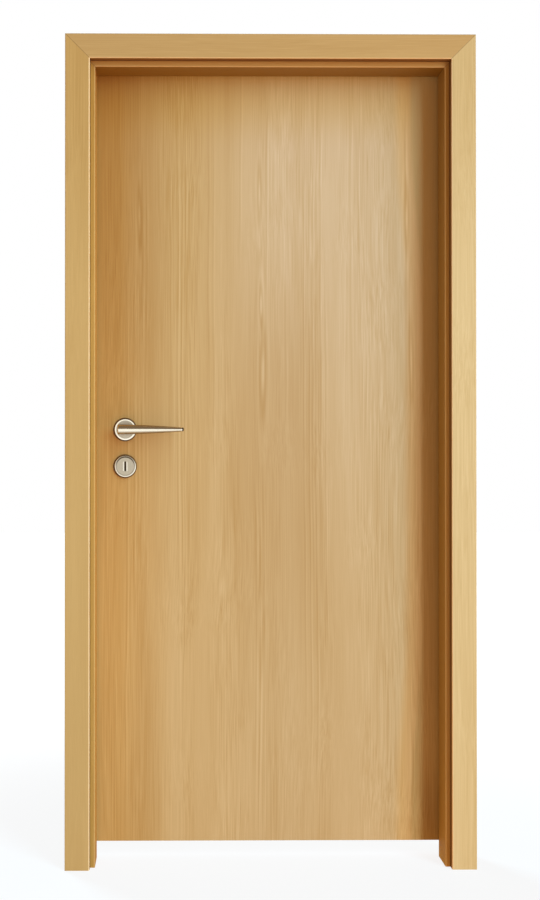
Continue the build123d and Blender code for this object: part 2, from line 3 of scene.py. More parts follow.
import bpy
import numpy as np
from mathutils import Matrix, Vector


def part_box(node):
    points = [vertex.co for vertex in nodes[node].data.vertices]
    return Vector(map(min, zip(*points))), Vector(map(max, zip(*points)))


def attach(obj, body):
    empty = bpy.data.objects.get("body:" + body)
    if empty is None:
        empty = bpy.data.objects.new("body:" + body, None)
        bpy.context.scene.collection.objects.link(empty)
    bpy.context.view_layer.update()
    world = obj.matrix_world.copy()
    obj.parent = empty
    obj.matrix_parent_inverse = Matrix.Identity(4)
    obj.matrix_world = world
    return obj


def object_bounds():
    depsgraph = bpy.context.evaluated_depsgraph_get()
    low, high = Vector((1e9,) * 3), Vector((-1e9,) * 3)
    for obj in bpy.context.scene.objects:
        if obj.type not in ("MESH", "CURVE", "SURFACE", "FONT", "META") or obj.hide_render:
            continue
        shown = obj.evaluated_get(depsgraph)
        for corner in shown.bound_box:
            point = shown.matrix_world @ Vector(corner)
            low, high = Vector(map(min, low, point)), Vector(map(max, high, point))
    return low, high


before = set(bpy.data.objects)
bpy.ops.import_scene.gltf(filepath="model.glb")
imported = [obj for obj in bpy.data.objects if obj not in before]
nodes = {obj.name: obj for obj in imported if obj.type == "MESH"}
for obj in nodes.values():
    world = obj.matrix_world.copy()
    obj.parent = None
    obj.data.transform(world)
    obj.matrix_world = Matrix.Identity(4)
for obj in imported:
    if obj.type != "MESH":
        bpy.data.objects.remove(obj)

cad_low, cad_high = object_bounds()


# Frame boards: lining, front architraves and back architraves.
# They are fibreboard wrapped in sliced oak veneer, with the grain along each board and a clear satin
# varnish. The corners are mitred and glued, so a hairline of shadow runs along each mitre.

def put(tree, kind, feeds=None, **settings):
    """Adds a node and gives back its first output: feeds holds its inputs' values or the sockets that
    drive them, by name or number, and settings are the node's own choices."""
    made = tree.nodes.new("ShaderNode" + kind)
    for name, value in settings.items():
        setattr(made, name, value)
    for key, value in (feeds or {}).items():
        if isinstance(value, bpy.types.NodeSocket):
            tree.links.new(value, made.inputs[key])
        else:
            made.inputs[key].default_value = value
    return made.outputs[0]


def wire(tree, inputs, feeds):
    """Links each socket in feeds to the input of its name."""
    for name, socket in feeds.items():
        tree.links.new(socket, inputs[name])


def maths(tree, operation, *terms):
    """The named operation on one, two or three numbers."""
    return put(tree, "Math", dict(enumerate(terms)), operation=operation)


def apart(tree, first, second):
    """How far two numbers are from each other, without a sign."""
    return maths(tree, "ABSOLUTE", maths(tree, "SUBTRACT", first, second))


def spread(tree, value, low, high, to_low=0.0, to_high=1.0, smooth=False):
    """The value between low and high, stretched to lie between to_low and to_high, and held there."""
    kind = "SMOOTHSTEP" if smooth else "LINEAR"
    feeds = {"Value": value, 1: low, 2: high, 3: to_low, 4: to_high}
    return put(tree, "MapRange", feeds, interpolation_type=kind)


def fading(tree, value, low, high, most=1.0):
    """The most below low, nothing above high, and a soft fall between the two."""
    return spread(tree, value, low, high, most, 0.0, smooth=True)


def mix_colours(tree, share, first, second, blend="MIX"):
    """Two colours mixed, or blended, by a share of the second."""
    made = put(tree, "Mix", {0: share, 6: first, 7: second}, data_type="RGBA", blend_type=blend)
    return made.node.outputs[2]


def stretched_noise(tree, vector, scale, detail, roughness=0.5):
    """Smooth noise read from a vector whose three parts are each multiplied by scale."""
    placed = put(tree, "Mapping", {"Vector": vector, "Scale": scale})
    feeds = {"Vector": placed, "Scale": 1.0, "Detail": detail, "Roughness": roughness}
    return put(tree, "TexNoise", feeds)


def new_group(name, takes, gives):
    """An empty shader group: its tree, its inputs and its outputs. A socket named Vector holds a vector
    and every other one holds a number."""
    tree = bpy.data.node_groups.new(name, "ShaderNodeTree")
    for labels, way in ((takes, "INPUT"), (gives, "OUTPUT")):
        for label in labels:
            kind = "NodeSocketVector" if label == "Vector" else "NodeSocketFloat"
            tree.interface.new_socket(label, in_out=way, socket_type=kind)
    inside = tree.nodes.new("NodeGroupInput").outputs
    outside = tree.nodes.new("NodeGroupOutput").inputs
    return tree, inside, outside


def place_group(tree, group, feeds):
    """A group's node in a material or in another group, with its inputs fed."""
    return put(tree, "Group", feeds, node_tree=group).node.outputs


def new_finish(name):
    """A material, its tree, its Principled shader and the point on the piece that it colours."""
    material = bpy.data.materials.new(name)
    material.use_nodes = True
    tree = material.node_tree
    point = tree.nodes.new("ShaderNodeTexCoord").outputs["Object"]
    return material, tree, tree.nodes["Principled BSDF"], point


def relief(tree, shader, height, strength, distance):
    """Tilts the shader's normal by the slope of a height, which is worth up to the distance."""
    bump = put(tree, "Bump", {"Strength": strength, "Distance": distance, "Height": height})
    tree.links.new(bump, shader.inputs["Normal"])


def finish_node(name, material):
    """Gives a node of the solid model its finish."""
    for held in nodes[name].material_slots:
        held.material = material


# Nearly all values of a noise lie between these two.
NOISE_LOW = 0.3
NOISE_HIGH = 0.7
# Cells in a metre of each of the veneer's noises, across the sheet, through it and along its grain.
SWAY_SCALE = (3.0, 3.0, 1.1)
TONE_SCALE = (9.0, 9.0, 0.45)
RING_SCALE = (5.0, 5.0, 0.30)
RING_FADE_SCALE = (14.0, 14.0, 1.3)
BAND_SCALE = (11.0, 11.0, 0.35)
STREAK_SCALE = (420.0, 420.0, 2.8)
FIBRE_SCALE = (900.0, 900.0, 7.0)
PORE_SCALE = (1500.0, 1500.0, 60.0)
SWAY_REACH = 0.009
RING_SHARPNESS = 3.0
BAND_FAINT = 0.25
BAND_STRONG = 1.3


def veneer_figure_group():
    """Sliced oak: Z of the vector runs along the grain. Rings are the contour lines of a long smooth
    noise, which run almost straight and close in flames here and there. Streaks and fibres are finer
    noises, stretched along the grain. The streaks are strong in some bands and faint between them, and
    pores are the darkest specks of the finest noise."""
    gives = ("Tone", "Rings", "Streaks", "Fibres", "Height")
    tree, take, give = new_group("veneer_figure", ("Vector", "Ring Count"), gives)
    sway = stretched_noise(tree, take["Vector"], SWAY_SCALE, detail=2.0)
    sway = spread(tree, sway, NOISE_LOW, NOISE_HIGH, -SWAY_REACH, SWAY_REACH)
    offset = put(tree, "CombineXYZ", {"X": sway, "Y": sway})
    swayed = put(tree, "VectorMath", {0: take["Vector"], 1: offset}, operation="ADD")
    tone = stretched_noise(tree, swayed, TONE_SCALE, detail=4.0, roughness=0.62)
    contour = stretched_noise(tree, swayed, RING_SCALE, detail=1.0)
    wave = maths(tree, "SINE", maths(tree, "MULTIPLY", contour, take["Ring Count"]))
    rings = maths(tree, "POWER", spread(tree, wave, -1.0, 1.0), RING_SHARPNESS)
    fade = spread(tree, stretched_noise(tree, swayed, RING_FADE_SCALE, detail=1.0), 0.4, 0.62)
    band = stretched_noise(tree, swayed, BAND_SCALE, detail=1.0)
    band = spread(tree, band, 0.42, 0.60, BAND_FAINT, BAND_STRONG)
    streaks = stretched_noise(tree, swayed, STREAK_SCALE, detail=2.0, roughness=0.75)
    streaks = spread(tree, streaks, NOISE_LOW, NOISE_HIGH, -0.5, 0.5)
    streaks = maths(tree, "MULTIPLY", streaks, band)
    fibres = stretched_noise(tree, swayed, FIBRE_SCALE, detail=2.0, roughness=0.6)
    fibres = spread(tree, fibres, 0.25, 0.75)
    pores = spread(tree, stretched_noise(tree, swayed, PORE_SCALE, detail=1.0), 0.66, 0.74)
    results = {
        "Tone": spread(tree, tone, 0.32, 0.68),
        "Rings": maths(tree, "MULTIPLY", rings, fade),
        "Streaks": maths(tree, "ADD", streaks, 0.5),
        "Fibres": fibres,
        "Height": maths(tree, "SUBTRACT", fibres, pores),
    }
    wire(tree, give, results)
    return tree


# How far each mark of a board reaches: it is full up to the first distance and gone at the second.
MITRE_REACH = (0.0004, 0.0011)
INNER_REACH = (0.0006, 0.0012)
# The inner face begins behind the rounding of the front edge, between these two depths.
INNER_DEPTHS = (0.002, 0.005)


def board_marks_group():
    """The marks of a mitred board, by how far a point is outside an opening's side and over its head.
    The mitre's hairline is where both are equal. The edge is where the greater of them is near nothing,
    and the point is near the front as well. The depth is how far the point is behind that front, and
    inner is the board's face towards the opening."""
    takes = ("Vector", "Middle", "Half Width", "Height", "Front", "Near", "Far")
    tree, take, give = new_group("board_marks", takes, ("Mitre", "Edge", "Depth", "Inner"))
    parts = put(tree, "SeparateXYZ", {"Vector": take["Vector"]}).node.outputs
    outside = maths(tree, "SUBTRACT", apart(tree, parts["X"], take["Middle"]), take["Half Width"])
    over = maths(tree, "SUBTRACT", parts["Z"], take["Height"])
    inset = maths(tree, "ABSOLUTE", maths(tree, "MAXIMUM", outside, over))
    depth = maths(tree, "SUBTRACT", parts["Y"], take["Front"])
    off_edge = maths(tree, "MAXIMUM", inset, maths(tree, "ABSOLUTE", depth))
    on_inside = spread(tree, inset, *INNER_REACH, 1.0, 0.0)
    results = {
        "Mitre": fading(tree, apart(tree, outside, over), *MITRE_REACH),
        "Edge": fading(tree, off_edge, take["Near"], take["Far"]),
        "Depth": depth,
        "Inner": maths(tree, "MULTIPLY", on_inside, spread(tree, depth, *INNER_DEPTHS)),
    }
    wire(tree, give, results)
    return tree


VENEER_FIGURE = veneer_figure_group()
BOARD_MARKS = board_marks_group()
FIBRE_SHARE = 0.22


def veneer_colour(tree, grain, deep, pale, ring_count, tone_share, streak_share, ring_share):
    """Veneer between a deep and a pale colour: the tone, streaks, fibres and rings each move it. Gives
    the figure, the share of the pale colour before it is held between 0 and 1, and the colour."""
    figure = place_group(tree, VENEER_FIGURE, {"Vector": grain, "Ring Count": ring_count})
    share = maths(tree, "MULTIPLY", figure["Tone"], tone_share)
    share = maths(tree, "MULTIPLY_ADD", figure["Streaks"], streak_share, share)
    share = maths(tree, "MULTIPLY_ADD", figure["Fibres"], FIBRE_SHARE, share)
    share = maths(tree, "MULTIPLY_ADD", figure["Rings"], -ring_share, share)
    return figure, share, mix_colours(tree, spread(tree, share, 0.0, 1.0), deep, pale)


GLOSSIER = 0.04
DULLER = 0.05


def varnish(tree, shader, figure, roughness):
    """Clear satin varnish: the fibres vary its gloss a little and show through as fine relief."""
    gloss = spread(tree, figure["Fibres"], 0.0, 1.0, roughness - GLOSSIER, roughness + DULLER)
    tree.links.new(gloss, shader.inputs["Roughness"])
    relief(tree, shader, figure["Height"], strength=0.35, distance=0.00012)


FRAME_DEEP = (0.47, 0.270, 0.080)
FRAME_PALE = (0.66, 0.425, 0.165)
FRAME_FIGURE = {"ring_count": 34.0, "tone_share": 0.30, "streak_share": 0.36, "ring_share": 0.12}
FRAME_ROUGHNESS = 0.5
VARNISH_IOR = 1.5
BOARD_SHIFT = 0.37
# The frame's veneer is painted darker high up as shade, fully above the second of these heights.
HIGH_SHADE = (0.87, 0.81, 0.71, 1.0)
HIGH_FROM = 1.35
HIGH_TO = 2.0
MITRE_DARK = (0.10, 0.045, 0.012, 1.0)
MITRE_SHARE = 0.55
# A painted highlight along each board's front inner edge, strongest on the side architraves.
EDGE_HIGHLIGHT = (0.98, 0.72, 0.42, 1.0)
EDGE_HIGHLIGHT_WIDTH = {"Near": 0.0018, "Far": 0.0030}
EDGE_HIGHLIGHT_SHARE = 0.16
EDGE_HIGHLIGHT_SHARES = {
    "front_architrave_hinge_side": 0.75,
    "front_architrave_lock_side": 0.75,
    "front_architrave_head": 0.40,
}
# Painted shade in the crevice where a front architrave meets the lining's front edge.
JOINT_SHADE = (0.06, 0.020, 0.004, 1.0)
JOINT_SHADE_WIDTH = {"Near": 0.0003, "Far": 0.0015}
JOINT_SHADE_SHARE = 0.85
JOINT_SHADE_SHARES = {"front_architrave_lock_side": 0.5, "lining_lock_side": 0.5}
# Painted shade on a front architrave's return, its face towards the opening.
RETURN_SHADE = (0.42, 0.26, 0.13, 1.0)
UNTINTED = (1.0, 1.0, 1.0)
# Each board's tint is partly its own tone and partly painted light: painted sheen makes the front
# architraves paler and cooler, most on the hinge side, and painted shade makes the linings deeper and
# warmer.
BOARD_TONE_AND_LIGHT = {
    "front_architrave_hinge_side": (1.14, 1.37, 1.95),
    "front_architrave_lock_side": (1.03, 1.07, 1.16),
    "front_architrave_head": (1.02, 1.08, 1.35),
    "lining_hinge_side": (0.92, 0.83, 0.56),
    "lining_lock_side": (0.96, 0.85, 0.56),
    "lining_head": (0.94, 0.82, 0.72),
}
# Painted light and shade on the linings' faces inside the passage: lighter on the lock side, darker on
# the hinge side and darkest under the head.
PASSAGE_LIGHT_AND_SHADE = {
    "lining_hinge_side": (0.86, 0.86, 0.75, 1.0),
    "lining_lock_side": (1.12, 1.02, 0.95, 1.0),
    "lining_head": (0.55, 0.49, 0.17, 1.0),
}
PASSAGE_DEPTHS = (0.001, 0.003)


def tinted(colour, tint):
    """A colour with each part multiplied by a tint's, as four numbers."""
    return (*(part * share for part, share in zip(colour, tint)), 1.0)


def along_grain(level):
    """The turn that lays Z of the veneer's figure along a piece, upright or level."""
    return (0.0, math.pi / 2, 0.0) if level else (0.0, 0.0, 0.0)


def frame_veneer(name, level, shift, corner, joint):
    """The varnished veneer of one frame board, upright or level. It is painted darker high up as shade,
    has painted light and shade inside the passage and painted shade on an architrave's return, a painted
    highlight along its front inner edge, painted shade along the joint, and its mitres' hairlines of
    shadow."""
    material, tree, shader, point = new_finish(name)
    feeds = {"Vector": point, "Location": (shift, 0.0, 3 * shift), "Rotation": along_grain(level)}
    grain = put(tree, "Mapping", feeds)
    tint = BOARD_TONE_AND_LIGHT.get(name, UNTINTED)
    deep = tinted(FRAME_DEEP, tint)
    pale = tinted(FRAME_PALE, tint)
    figure, _, colour = veneer_colour(tree, grain, deep, pale, **FRAME_FIGURE)
    height = put(tree, "SeparateXYZ", {"Vector": point}).node.outputs["Z"]
    high_up = spread(tree, height, HIGH_FROM, HIGH_TO, smooth=True)
    colour = mix_colours(tree, high_up, colour, HIGH_SHADE, "MULTIPLY")
    marked = place_group(tree, BOARD_MARKS, {"Vector": point, **EDGE_HIGHLIGHT_WIDTH, **corner})
    if name in PASSAGE_LIGHT_AND_SHADE:
        inside = spread(tree, marked["Depth"], *PASSAGE_DEPTHS)
        colour = mix_colours(tree, inside, colour, PASSAGE_LIGHT_AND_SHADE[name], "MULTIPLY")
    if name.startswith("front"):
        colour = mix_colours(tree, marked["Inner"], colour, RETURN_SHADE, "MULTIPLY")
    highlight = maths(tree, "MULTIPLY", marked["Edge"], EDGE_HIGHLIGHT_SHARES.get(name, EDGE_HIGHLIGHT_SHARE))
    colour = mix_colours(tree, highlight, colour, EDGE_HIGHLIGHT)
    mitre = maths(tree, "MULTIPLY", marked["Mitre"], MITRE_SHARE)
    colour = mix_colours(tree, mitre, colour, MITRE_DARK)
    shaded_joint = place_group(tree, BOARD_MARKS, {"Vector": point, **JOINT_SHADE_WIDTH, **joint})["Edge"]
    shaded_joint = maths(tree, "MULTIPLY", shaded_joint, JOINT_SHADE_SHARES.get(name, JOINT_SHADE_SHARE))
    tree.links.new(mix_colours(tree, shaded_joint, colour, JOINT_SHADE), shader.inputs["Base Color"])
    varnish(tree, shader, figure, FRAME_ROUGHNESS)
    shader.inputs["IOR"].default_value = VARNISH_IOR
    return material


passage_middle = (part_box("lining_hinge_side")[0].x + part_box("lining_lock_side")[1].x) / 2


def opening_line(kind, front):
    """Where the inner edges of a set of three boards run, at the given front."""
    half_width = passage_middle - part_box(f"{kind}_lock_side")[1].x
    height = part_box(f"{kind}_head")[0].z
    return {"Middle": passage_middle, "Half Width": half_width, "Height": height, "Front": front}


lining_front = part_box("lining_head")[0].y
fronts = {"lining": lining_front, "front_architrave": cad_low.y, "back_architrave": cad_low.y}
joint = opening_line("front_architrave", lining_front)
shift = 0.0
for kind, front in fronts.items():
    corner = opening_line(kind, front)
    for place in ("hinge_side", "lock_side", "head"):
        shift += BOARD_SHIFT
        node = f"{kind}_{place}"
        finish_node(node, frame_veneer(node, place == "head", shift, corner, joint))


# Leaf skins and edge strips: the flush leaf's faces.
# One sheet of oak veneer covers each face, matched from upright slices, warmer towards the lock side
# and paler in the middle, partly its own tone and partly painted light, with fine straight streaks and a
# few flames. The edges carry strips of it. The closing face also carries painted shade along its hinge
# side, head and lower hinge corner, and a painted shadow lies round each cover.

# The lock tone's deeper top is partly painted shade, and the pale tone, palest high up, is partly
# painted sheen.
LOCK_TONE_LOW = (0.566, 0.319, 0.101, 1.0)
LOCK_TONE_HIGH = (0.385, 0.190, 0.046, 1.0)
GOLDEN_TONE_LOW = (0.600, 0.394, 0.177, 1.0)
GOLDEN_TONE_HIGH = (0.558, 0.368, 0.162, 1.0)
PALE_TONE_LOW = (0.575, 0.393, 0.195, 1.0)
PALE_TONE_HIGH = (0.613, 0.451, 0.272, 1.0)
# The low tones turn into the high ones between these heights.
TONE_HEIGHTS = (0.50, 1.75)
# Distances from the skin's edge on the lock side, between which one tone turns into the next.
GOLDEN_FROM = 0.065
GOLDEN_TO = 0.205
PALE_FROM = 0.21
PALE_TO = 0.52
# The amber slice: its middle, and how far from it the tone is full and gone, across and upright.
AMBER_SLICE = (0.92, 0.87, 0.79, 1.0)
AMBER_PLACE = -0.430
AMBER_MIDDLE = 0.98
AMBER_ACROSS = (0.064, 0.160)
AMBER_UPRIGHT = (0.124, 0.62)
# The painted shade bands: distances from the skin's edges, between which each painted shade comes in.
TOWARDS_HINGES_SHADE = (1.04, 0.93, 0.74, 1.0)
TOWARDS_HINGES_FROM = 0.102
TOWARDS_HINGES_TO = 0.072
BY_HINGES_SHADE = (0.84, 0.89, 0.84, 1.0)
BY_HINGES_FROM = 0.058
BY_HINGES_TO = 0.042
BY_HEAD_SHADE = (0.97, 0.92, 0.72, 1.0)
BY_HEAD_FROM = 0.20
BY_HEAD_TO = 0.06
BY_FOOT_SHADE = (0.80, 0.74, 0.62, 1.0)
BY_FOOT_FULL = 0.07
BY_FOOT_GONE = 0.20
FOOT_CORNER_FROM = 0.062
FOOT_CORNER_TO = 0.044
# The painted shade bands along the hinge side widen by the bow, between these distances from the middle
# height.
BOW = 0.026
BOW_FROM = 0.40
BOW_TO = 0.85
FIGURE_DEEP = (0.84, 0.76, 0.62, 1.0)
FIGURE_PALE = (1.10, 1.15, 1.26, 1.0)
LEAF_FIGURE = {"ring_count": 42.0, "tone_share": 0.40, "streak_share": 0.70, "ring_share": 0.16}
FIGURE_DEEPENED = 0.18
LEAF_ROUGHNESS = 0.5
# Painted shadow on the veneer outside the rim of a rose or escutcheon, a little to the lock side.
COVER_SHADOW_DARK = (0.17, 0.09, 0.035, 1.0)
COVER_SHADOW_ASIDE = 0.0009
COVER_SHADOW_FULL = 0.0008
COVER_SHADOW_GONE = 0.0034
COVER_SHADOW_SHARE = 0.95
# A line's bright crest lies this many widths beside its dark one.
CREST_ASIDE = 1.7


def figure_line_group():
    """One strong grain line: a dark crest beside a bright one across the grain, both bell shaped, that
    fade at a reach above and below their middle."""
    takes = ("Across", "Along", "Place", "Width", "Middle", "Reach")
    tree, take, give = new_group("figure_line", takes, ("Crest",))
    across = maths(tree, "SUBTRACT", take["Across"], take["Place"])
    across = maths(tree, "DIVIDE", across, take["Width"])
    crests = []
    for aside in (0.0, CREST_ASIDE):
        gap = maths(tree, "SUBTRACT", across, aside)
        square = maths(tree, "MULTIPLY", gap, gap)
        crests.append(maths(tree, "EXPONENT", maths(tree, "MULTIPLY", square, -1.0)))
    pair = maths(tree, "SUBTRACT", crests[1], crests[0])
    away = maths(tree, "DIVIDE", apart(tree, take["Along"], take["Middle"]), take["Reach"])
    tree.links.new(maths(tree, "MULTIPLY", pair, fading(tree, away, 0.4, 1.0)), give["Crest"])
    return tree


FLAME_FADE = 1.3


def flame_group():
    """One flame of the figure: long nested ovals along the grain, bright in the middle, ringed by a dark
    and then a paler line, and fading outwards."""
    takes = ("Across", "Along", "Place", "Middle", "Width", "Length")
    tree, take, give = new_group("flame", takes, ("Crest",))
    across = maths(tree, "SUBTRACT", take["Across"], take["Place"])
    across = maths(tree, "DIVIDE", across, take["Width"])
    along = maths(tree, "SUBTRACT", take["Along"], take["Middle"])
    along = maths(tree, "DIVIDE", along, take["Length"])
    square = maths(tree, "MULTIPLY_ADD", across, across, maths(tree, "MULTIPLY", along, along))
    turns = maths(tree, "MULTIPLY", maths(tree, "SQRT", square), 2 * math.pi)
    fade = maths(tree, "EXPONENT", maths(tree, "MULTIPLY", square, -FLAME_FADE))
    tree.links.new(maths(tree, "MULTIPLY", maths(tree, "COSINE", turns), fade), give["Crest"])
    return tree


FIGURE_LINE = figure_line_group()
FLAME = flame_group()
# Each line's place across, its width, its middle height, its reach and its depth.
LEAF_LINES = (
    (-0.866, 0.0022, 1.20, 0.90, 0.20),
    (-0.812, 0.0022, 0.75, 0.85, 0.42),
    (-0.795, 0.0026, 1.05, 0.95, 0.30),
    (-0.775, 0.0030, 1.30, 0.50, 0.26),
    (-0.764, 0.0020, 1.15, 0.80, 0.24),
    (-0.684, 0.0026, 1.30, 0.80, 0.50),
    (-0.674, 0.0022, 1.15, 0.75, 0.42),
    (-0.668, 0.0020, 0.75, 0.60, 0.34),
    (-0.664, 0.0018, 1.75, 0.35, 0.34),
    (-0.606, 0.0022, 1.55, 0.50, 0.26),
    (-0.594, 0.0020, 1.35, 0.60, 0.26),
    (-0.528, 0.0022, 1.80, 0.40, 0.30),
    (-0.490, 0.0024, 0.55, 0.55, 0.36),
    (-0.480, 0.0020, 0.50, 0.55, 0.36),
    (-0.470, 0.0020, 0.60, 0.55, 0.30),
    (-0.462, 0.0022, 1.60, 0.45, 0.30),
    (-0.412, 0.0020, 1.25, 0.30, 0.26),
    (-0.366, 0.0018, 1.10, 0.95, 0.34),
    (-0.352, 0.0018, 0.75, 0.75, 0.36),
    (-0.344, 0.0018, 1.30, 0.80, 0.30),
    (-0.336, 0.0020, 0.70, 0.70, 0.34),
    (-0.324, 0.0022, 1.45, 0.75, 0.34),
    (-0.311, 0.0018, 0.95, 0.70, 0.28),
    (-0.246, 0.0022, 1.55, 0.50, 0.24),
    (-0.226, 0.0020, 1.70, 0.40, 0.22),
    (-0.180, 0.0020, 0.80, 0.50, 0.18),
    (-0.112, 0.0026, 1.62, 0.32, 0.40),
    (-0.104, 0.0024, 1.15, 0.40, 0.26),
)
LINE_STRENGTH = 0.8
# Each flame's place across, its middle height, its width, its length and its depth.
LEAF_FLAMES = (
    (-0.782, 1.60, 0.0085, 0.13, 0.40),
    (-0.480, 1.66, 0.0090, 0.12, 0.34),
    (-0.474, 1.38, 0.0080, 0.09, 0.50),
    (-0.470, 1.21, 0.0150, 0.20, 0.50),
    (-0.110, 1.60, 0.0100, 0.14, 0.40),
    (-0.100, 1.24, 0.0090, 0.18, 0.34),
    (-0.480, 0.60, 0.0120, 0.25, 0.24),
)
DRIFT_SCALE = (2.5, 2.5, 1.3)
DRIFT_REACH = 0.005


def leaf_ground(tree, parts):
    """A sheet's tone before its figure: warm brown towards the lock side and darkest high up there,
    partly painted shade, then golden, then pale, palest high up, partly painted sheen."""
    high_up = spread(tree, parts["Z"], *TONE_HEIGHTS, smooth=True)
    lock_tone = mix_colours(tree, high_up, LOCK_TONE_LOW, LOCK_TONE_HIGH)
    golden_tone = mix_colours(tree, high_up, GOLDEN_TONE_LOW, GOLDEN_TONE_HIGH)
    pale_tone = mix_colours(tree, high_up, PALE_TONE_LOW, PALE_TONE_HIGH)
    golden = spread(tree, parts["X"], leaf_low.x + GOLDEN_FROM, leaf_low.x + GOLDEN_TO)
    pale = spread(tree, parts["X"], leaf_low.x + PALE_FROM, leaf_low.x + PALE_TO, smooth=True)
    return mix_colours(tree, pale, mix_colours(tree, golden, lock_tone, golden_tone), pale_tone)


def near_edge(tree, place, edge, start, full):
    """A band along an edge at a higher X or Z: it comes in between two distances before the edge."""
    return spread(tree, place, edge - start, edge - full, smooth=True)


def painted_shade_ground(tree, parts, tone):
    """The front sheet's tone: one slice is a shade more amber, and painted shade lies along the hinge
    side and the head. Along the hinge side the painted shade is wider high up and low down, and it is
    deepest in its lower corner."""
    off_middle = apart(tree, parts["Z"], AMBER_MIDDLE)
    inside = fading(tree, apart(tree, parts["X"], AMBER_PLACE), *AMBER_ACROSS)
    beside = fading(tree, off_middle, *AMBER_UPRIGHT)
    tone = mix_colours(tree, maths(tree, "MULTIPLY", inside, beside), tone, AMBER_SLICE, "MULTIPLY")
    bow = spread(tree, off_middle, BOW_FROM, BOW_TO, 0.0, BOW, smooth=True)
    across = maths(tree, "ADD", parts["X"], bow)
    towards = near_edge(tree, across, leaf_high.x, TOWARDS_HINGES_FROM, TOWARDS_HINGES_TO)
    by_hinges = near_edge(tree, across, leaf_high.x, BY_HINGES_FROM, BY_HINGES_TO)
    by_head = near_edge(tree, parts["Z"], leaf_high.z, BY_HEAD_FROM, BY_HEAD_TO)
    by_head = maths(tree, "MULTIPLY", by_head, maths(tree, "SUBTRACT", 1.0, by_hinges))
    by_foot = fading(tree, parts["Z"], leaf_low.z + BY_FOOT_FULL, leaf_low.z + BY_FOOT_GONE)
    in_corner = near_edge(tree, parts["X"], leaf_high.x, FOOT_CORNER_FROM, FOOT_CORNER_TO)
    by_foot = maths(tree, "MULTIPLY", by_foot, in_corner)
    tone = mix_colours(tree, towards, tone, TOWARDS_HINGES_SHADE, "MULTIPLY")
    tone = mix_colours(tree, by_hinges, tone, BY_HINGES_SHADE, "MULTIPLY")
    tone = mix_colours(tree, by_foot, tone, BY_FOOT_SHADE, "MULTIPLY")
    return mix_colours(tree, by_head, tone, BY_HEAD_SHADE, "MULTIPLY")


def cover_shadow_ring(tree, point, cover):
    """The painted shadow round a cover: full at its rim and gone a few millimetres outside it."""
    low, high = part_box(cover)
    middle = (low + high) / 2
    outer = (high.x - low.x) / 2
    aside = (COVER_SHADOW_ASIDE - middle.x, 0.0, -middle.z)
    placed = put(tree, "Mapping", {"Vector": point, "Location": aside, "Scale": (1.0, 0.0, 1.0)})
    radius = put(tree, "VectorMath", {0: placed}, operation="LENGTH").node.outputs["Value"]
    return fading(tree, radius, outer + COVER_SHADOW_FULL, outer + COVER_SHADOW_GONE, COVER_SHADOW_SHARE)


def leaf_veneer(name, shift, shaded_and_lined):
    """The leaf's varnished veneer, with the painted shade and the strong lines of the closing side where
    it is that skin, and a painted shadow round each front cover.
    """
    material, tree, shader, point = new_finish(name)
    grain = put(tree, "Mapping", {"Vector": point, "Location": (shift, 0.0, shift)})
    figure, share, _ = veneer_colour(tree, grain, FIGURE_DEEP, FIGURE_PALE, **LEAF_FIGURE)
    share = maths(tree, "SUBTRACT", share, FIGURE_DEEPENED)
    parts = put(tree, "SeparateXYZ", {"Vector": point}).node.outputs
    ground = leaf_ground(tree, parts)
    if shaded_and_lined:
        ground = painted_shade_ground(tree, parts, ground)
        drift = stretched_noise(tree, point, DRIFT_SCALE, detail=2.0)
        drift = spread(tree, drift, NOISE_LOW, NOISE_HIGH, -DRIFT_REACH, DRIFT_REACH)
        where = {"Across": maths(tree, "ADD", parts["X"], drift), "Along": parts["Z"]}
        for place, width, middle, reach, depth in LEAF_LINES:
            feeds = {**where, "Place": place, "Width": width, "Middle": middle, "Reach": reach}
            crest = place_group(tree, FIGURE_LINE, feeds)["Crest"]
            share = maths(tree, "MULTIPLY_ADD", crest, LINE_STRENGTH * depth, share)
        for place, middle, width, length, depth in LEAF_FLAMES:
            feeds = {**where, "Place": place, "Middle": middle, "Width": width, "Length": length}
            crest = place_group(tree, FLAME, feeds)["Crest"]
            share = maths(tree, "MULTIPLY_ADD", crest, depth, share)
    tint = mix_colours(tree, spread(tree, share, 0.0, 1.0), FIGURE_DEEP, FIGURE_PALE)
    colour = mix_colours(tree, 1.0, ground, tint, "MULTIPLY")
    # Painted shadow round the front rose and escutcheon.
    for cover in ("front_rose", "front_escutcheon"):
        cover_shadow = cover_shadow_ring(tree, point, cover)
        colour = mix_colours(tree, cover_shadow, colour, COVER_SHADOW_DARK, "MULTIPLY")
    tree.links.new(colour, shader.inputs["Base Color"])
    varnish(tree, shader, figure, LEAF_ROUGHNESS)
    shader.inputs["IOR"].default_value = VARNISH_IOR
    return material


leaf_low, leaf_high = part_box("leaf_skin_front")
finish_node("leaf_skin_front", leaf_veneer("front_skin_veneer", 0.0, True))
finish_node("leaf_skin_back", leaf_veneer("back_skin_veneer", 2.3, False))
for place in ("hinge_side", "lock_side", "top"):
    finish_node(f"leaf_lipping_{place}", leaf_veneer(f"{place}_strip_veneer", 1.1, False))


# Inside of the leaf: stiles, rails and lock block of softwood round a tubular chipboard core.
# They are planed or pressed, glued between the skins and left bare. They show only at the leaf's lower
# edge, which carries no strip.

SOFTWOOD_PALE = (0.66, 0.48, 0.26, 1.0)
SOFTWOOD_DEEP = (0.46, 0.28, 0.11, 1.0)
SOFTWOOD_FIGURE = {"ring_count": 60.0, "tone_share": 0.4, "streak_share": 0.34, "ring_share": 0.3}
SOFTWOOD_ROUGHNESS = 0.7
CHIP_SCALE = (260.0, 420.0, 160.0)
CHIP_DARK = (0.36, 0.22, 0.10, 1.0)
CHIP_PALE = (0.66, 0.48, 0.27, 1.0)


